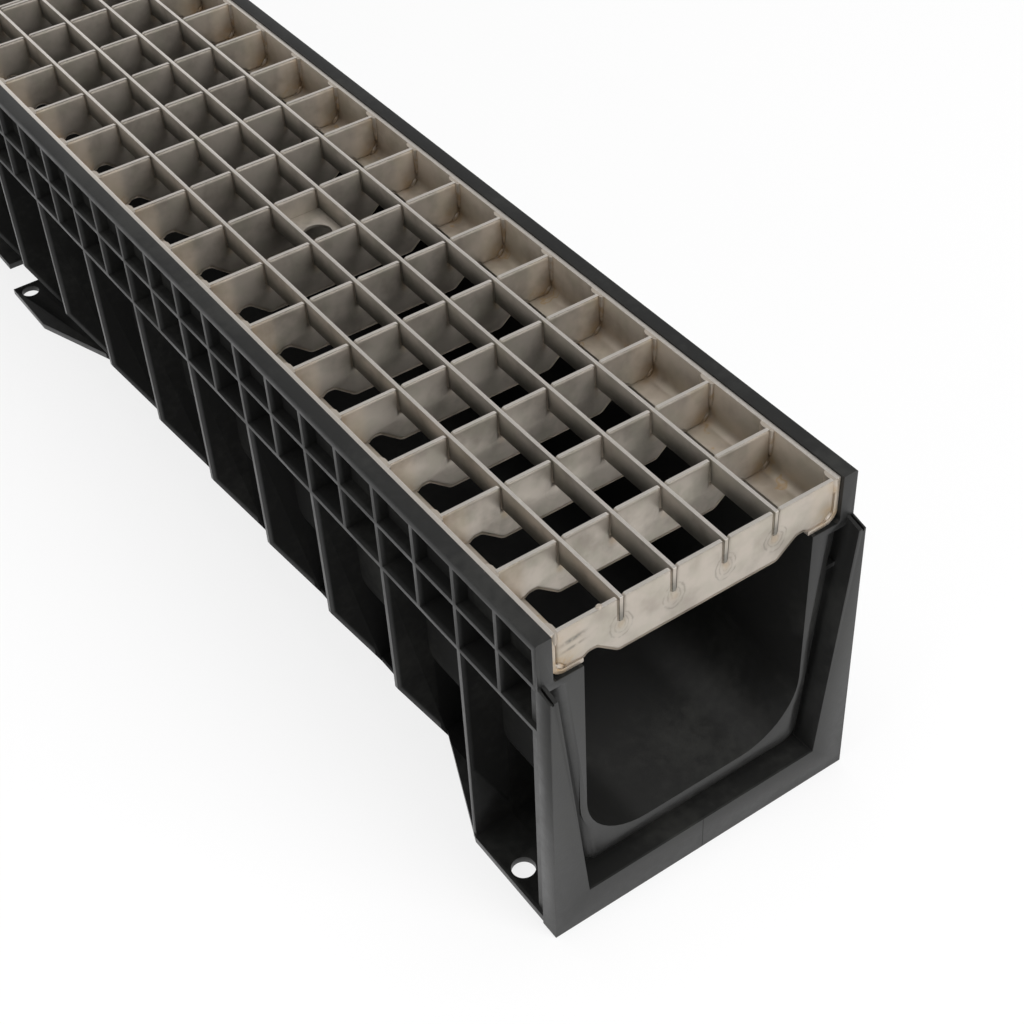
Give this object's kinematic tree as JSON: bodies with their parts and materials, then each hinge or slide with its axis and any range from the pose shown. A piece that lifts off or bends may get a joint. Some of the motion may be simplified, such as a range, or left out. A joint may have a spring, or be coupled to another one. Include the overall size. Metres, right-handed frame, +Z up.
{
  "type": "channel drain",
  "caption": "Straight surface drain: a ribbed plastic channel with a round-cornered trough, a socket frame at one end, and welded egg-crate steel gratings in its rebate.",
  "frame": {"origin": "centre of the underside, at the bottom of the overall box", "axes": "+Y along the drain from the socket end to the spigot end, +X across it, +Z up"},
  "size_m": [0.138, 1.0068, 0.15],
  "materials": {
    "channel_plastic": "moulded black plastic with a low satin sheen",
    "grating_steel": "pickled stainless sheet, warm grey, with weld heat tints"
  },
  "bodies": {
    "root": {"channel": "channel_plastic", "near_left_rail": "grating_steel", "near_right_rail": "grating_steel", "near_cross_plate_01": "grating_steel", "near_cross_plate_02": "grating_steel", "near_cross_plate_03": "grating_steel", "near_cross_plate_04": "grating_steel", "near_cross_plate_05": "grating_steel", "near_cross_plate_06": "grating_steel", "near_cross_plate_07": "grating_steel", "near_cross_plate_08": "grating_steel", "near_cross_plate_09": "grating_steel", "near_cross_plate_10": "grating_steel", "near_cross_plate_11": "grating_steel", "near_cross_plate_12": "grating_steel", "near_cross_plate_13": "grating_steel", "near_cross_plate_14": "grating_steel", "near_cross_plate_15": "grating_steel", "near_cross_plate_16": "grating_steel", "near_bar_1": "grating_steel", "near_bar_2": "grating_steel", "near_bar_3": "grating_steel", "near_bar_4": "grating_steel", "near_lock_plate": "grating_steel", "far_left_rail": "grating_steel", "far_right_rail": "grating_steel", "far_cross_plate_01": "grating_steel", "far_cross_plate_02": "grating_steel", "far_cross_plate_03": "grating_steel", "far_cross_plate_04": "grating_steel", "far_cross_plate_05": "grating_steel", "far_cross_plate_06": "grating_steel", "far_cross_plate_07": "grating_steel", "far_cross_plate_08": "grating_steel", "far_cross_plate_09": "grating_steel", "far_cross_plate_10": "grating_steel", "far_cross_plate_11": "grating_steel", "far_cross_plate_12": "grating_steel", "far_cross_plate_13": "grating_steel", "far_cross_plate_14": "grating_steel", "far_cross_plate_15": "grating_steel", "far_cross_plate_16": "grating_steel", "far_bar_1": "grating_steel", "far_bar_2": "grating_steel", "far_bar_3": "grating_steel", "far_bar_4": "grating_steel", "far_lock_plate": "grating_steel"}
  },
  "joints": []
}
